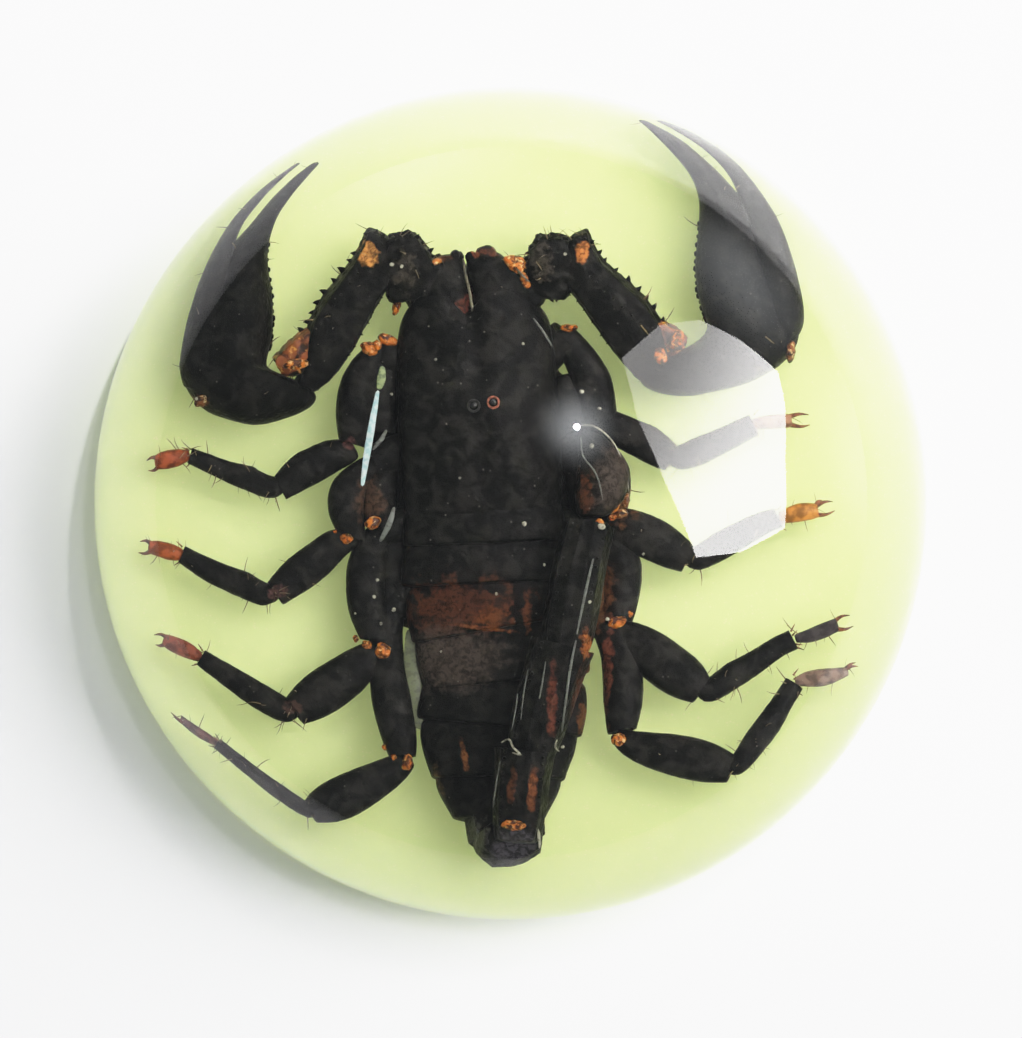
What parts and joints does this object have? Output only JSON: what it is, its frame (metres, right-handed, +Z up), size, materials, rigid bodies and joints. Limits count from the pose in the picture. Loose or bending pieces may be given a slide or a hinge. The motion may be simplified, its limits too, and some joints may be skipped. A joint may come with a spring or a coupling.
{
  "type": "scorpion in resin dome",
  "caption": "Black forest scorpion cast whole in a clear, shallow resin dome that stands on a pale green glow layer with a flat underside.",
  "frame": {"origin": "centre of the flat underside", "axes": "+Z up through the top of the dome, +Y the way the scorpion's head points, +X to its right as seen from above"},
  "size_m": [0.085, 0.085, 0.0315],
  "materials": {
    "glow_resin": "poured glow resin, pale yellow-green, satin with a fine pigment grain",
    "clear_resin": "clear casting resin, polished, faintly warm",
    "scorpion_shell": "dried chitin, black-brown, satin, granular on the claws and smooth on the back"
  },
  "bodies": {
    "root": {"glow_base": "glow_resin", "resin_lower": "clear_resin", "resin_upper": "clear_resin", "scorpion": "scorpion_shell"}
  },
  "joints": []
}
